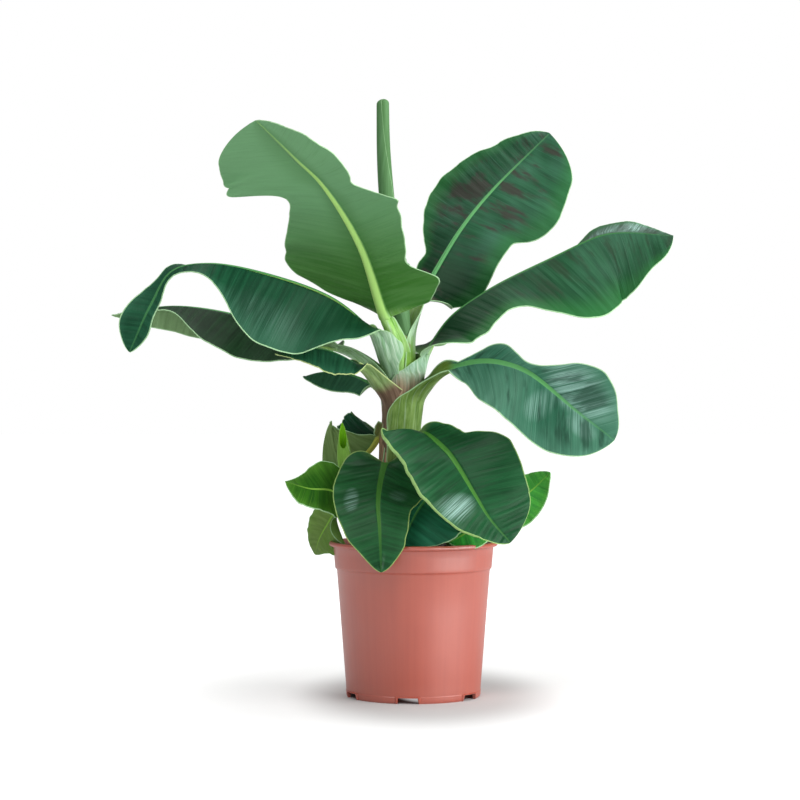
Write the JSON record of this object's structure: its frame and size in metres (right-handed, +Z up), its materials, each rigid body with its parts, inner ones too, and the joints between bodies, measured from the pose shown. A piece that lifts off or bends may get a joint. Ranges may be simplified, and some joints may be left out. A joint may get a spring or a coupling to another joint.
{
  "type": "banana plant",
  "caption": "Young banana plant with a pseudostem, broad arching leaves, a rolled top leaf and low suckers, growing in a round plastic nursery pot.",
  "frame": {"origin": "middle of the pot's underside, on the ground that it stands on", "axes": "+Z up along the pot's axis and the stem, -Y to the front, +X to the right seen from the front"},
  "size_m": [0.713, 0.4193, 0.7432],
  "materials": {
    "pot": "satin",
    "soil": "matte",
    "stem": "satin",
    "leaf": "satin",
    "young_leaf": "satin"
  },
  "bodies": {
    "root": {"pot": "pot", "soil": "soil", "pseudostem": "stem", "spear_leaf": "young_leaf", "sucker_spear": "young_leaf", "sucker_stem_right": "young_leaf", "leaf_front_high": "leaf", "leaf_back_right_high": "leaf", "leaf_right_high": "leaf", "leaf_right_mid": "leaf", "leaf_left_high": "leaf", "leaf_left_back": "leaf", "leaf_left_mid": "leaf", "leaf_left_low": "leaf", "leaf_back_high": "leaf", "leaf_front_right_low": "leaf", "leaf_front_low": "leaf", "leaf_back_left_low": "leaf", "leaf_back_low": "leaf", "sucker_leaf_left": "young_leaf", "sucker_leaf_left_drooping": "young_leaf", "sucker_leaf_right": "young_leaf", "sucker_leaf_front": "young_leaf", "sucker_leaf_front_right": "young_leaf"}
  },
  "joints": []
}
